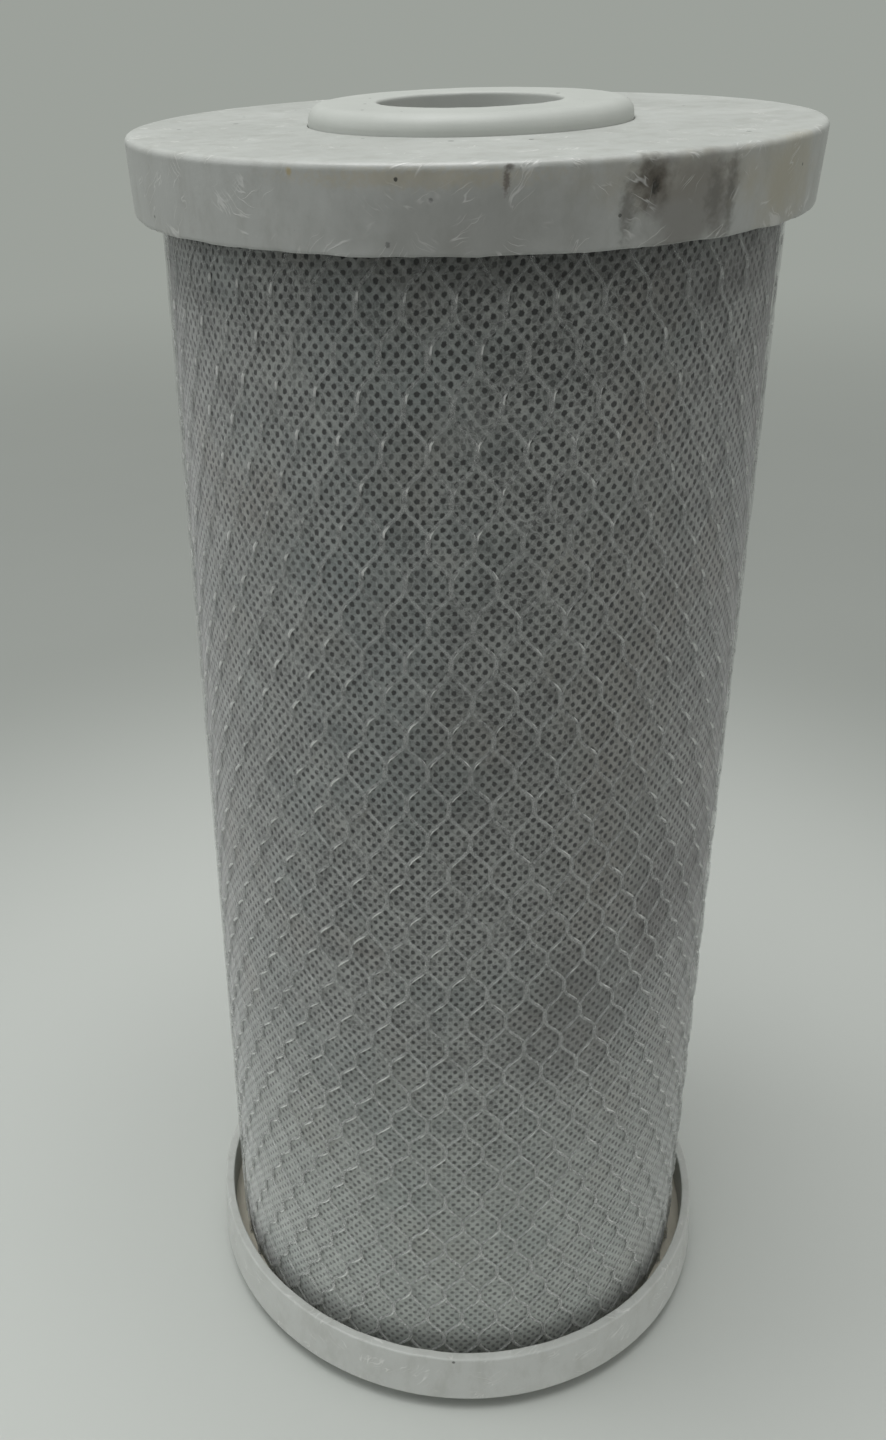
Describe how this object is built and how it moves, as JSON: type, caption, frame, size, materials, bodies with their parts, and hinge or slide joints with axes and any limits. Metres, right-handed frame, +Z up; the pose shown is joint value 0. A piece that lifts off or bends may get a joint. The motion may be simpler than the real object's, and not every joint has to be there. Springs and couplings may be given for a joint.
{
  "type": "carbon block filter cartridge",
  "caption": "Round carbon block water filter cartridge with netted fabric wrap, two white plastic end caps, flat rubber gaskets and an open bore through its middle.",
  "frame": {"origin": "on the cartridge's axis, at the centre of the lower gasket's sealing face", "axes": "+Z up along the axis; -Y faces the picture's viewer; the wrap's lap is on the +Y side"},
  "size_m": [0.114, 0.114, 0.2544],
  "materials": {
    "end_cap_plastic": "off-white moulded polypropylene, satin, stained",
    "gasket_rubber": "white soft rubber, matt",
    "adhesive": "set hot-melt adhesive, cream",
    "carbon": "sintered carbon, porous, matt black",
    "outer_fabric": "thin spunbond fabric over carbon, grey, point-bonded",
    "inner_fabric": "thin spunbond fabric, white",
    "netting_plastic": "white extruded netting, glossy, slightly translucent"
  },
  "bodies": {
    "root": {"bottom_gasket": "gasket_rubber", "bottom_end_cap": "end_cap_plastic", "bottom_adhesive_ring": "adhesive", "carbon_block": "carbon", "inner_wrap": "inner_fabric", "outer_wrap": "outer_fabric", "netting_sleeve": "netting_plastic", "top_adhesive_ring": "adhesive", "top_end_cap": "end_cap_plastic", "top_gasket": "gasket_rubber"}
  },
  "joints": []
}
